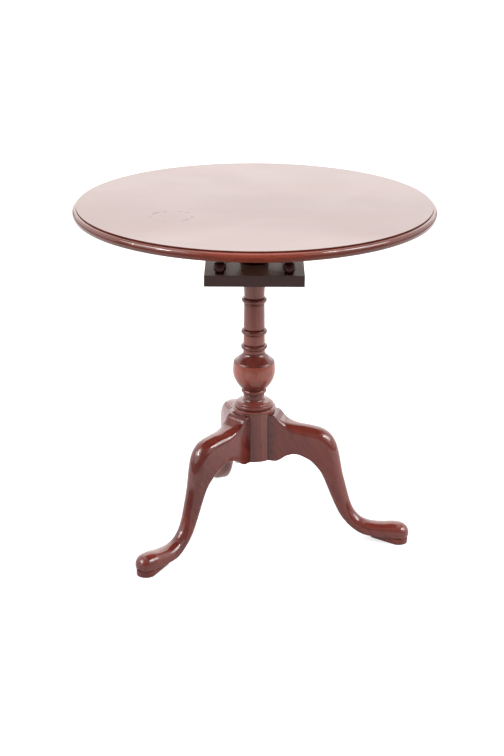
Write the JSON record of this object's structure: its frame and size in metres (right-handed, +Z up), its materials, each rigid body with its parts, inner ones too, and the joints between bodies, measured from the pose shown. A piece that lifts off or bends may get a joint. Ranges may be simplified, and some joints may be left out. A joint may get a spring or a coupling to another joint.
{
  "type": "tilt-top pedestal table",
  "caption": "Round-topped tea table on a turned pillar and cabriole tripod legs, with a swivelling cage under the top that lets it tilt upright and a bolt that locks it flat.",
  "frame": {"origin": "on the floor, on the pillar's axis, at the middle of the table's base", "axes": "+Z up the pillar; -Y is the front, where the hinge edge of the cage lies and where the top faces when it is tilted up; +X to the right seen from the front"},
  "size_m": [0.727, 0.727, 0.711],
  "materials": {
    "top_mahogany": "gloss french polish over red-brown mahogany, grain along the boards",
    "pillar_mahogany": "gloss polish on turned mahogany, grain along the pillar",
    "leg_mahogany": "gloss polish on carved mahogany, grain along the leg",
    "cage_mahogany": "dark stained mahogany, satin polish",
    "cleat_mahogany": "dark stained mahogany, thin satin finish",
    "wedge_mahogany": "plain planed mahogany",
    "catch_brass": "old rubbed brass",
    "brace_iron": "dark forged iron",
    "screw_steel": "dull steel screws"
  },
  "bodies": {
    "base": {"pillar": "pillar_mahogany", "leg_right": "leg_mahogany", "leg_back": "leg_mahogany", "leg_left": "leg_mahogany", "brace_plate": "brace_iron", "brace_screw_centre": "screw_steel", "brace_screw_right": "screw_steel", "brace_screw_back": "screw_steel", "brace_screw_left": "screw_steel", "collar": "cage_mahogany", "wedge": "wedge_mahogany"},
    "cage": {"cage_lower_board": "cage_mahogany", "cage_upper_board": "cage_mahogany", "post_front_left": "cage_mahogany", "post_front_right": "cage_mahogany", "post_back_left": "cage_mahogany", "post_back_right": "cage_mahogany", "strike_plate": "catch_brass", "strike_screw_left": "catch_brass", "strike_screw_right": "catch_brass"},
    "top": {"table_top": "top_mahogany", "cleat_left": "cleat_mahogany", "cleat_right": "cleat_mahogany", "cleat_left_screw_front": "screw_steel", "cleat_left_screw_middle": "screw_steel", "cleat_left_screw_back": "screw_steel", "cleat_right_screw_front": "screw_steel", "cleat_right_screw_middle": "screw_steel", "cleat_right_screw_back": "screw_steel", "catch_plate": "catch_brass", "catch_case": "catch_brass", "catch_spring": "catch_brass", "catch_screw_front_left": "catch_brass", "catch_screw_front_right": "catch_brass", "catch_screw_back_left": "catch_brass", "catch_screw_back_right": "catch_brass"},
    "bolt": {"catch_bolt": "catch_brass", "catch_knob": "catch_brass"}
  },
  "joints": [
    {"name": "cage_swivel", "type": "hinge", "parent": "base", "child": "cage", "pos_m": [0, 0, 0.5657], "axis": [0, 0, 1], "continuous": true},
    {"name": "top_tilt", "type": "hinge", "parent": "cage", "child": "top", "pos_m": [0, -0.0885, 0.6797], "axis": [1, 0, 0], "range_deg": [0, 90]},
    {"name": "bolt_slide", "type": "slide", "parent": "top", "child": "bolt", "axis": [0, -1, 0], "range_m": [0, 0.009]}
  ]
}
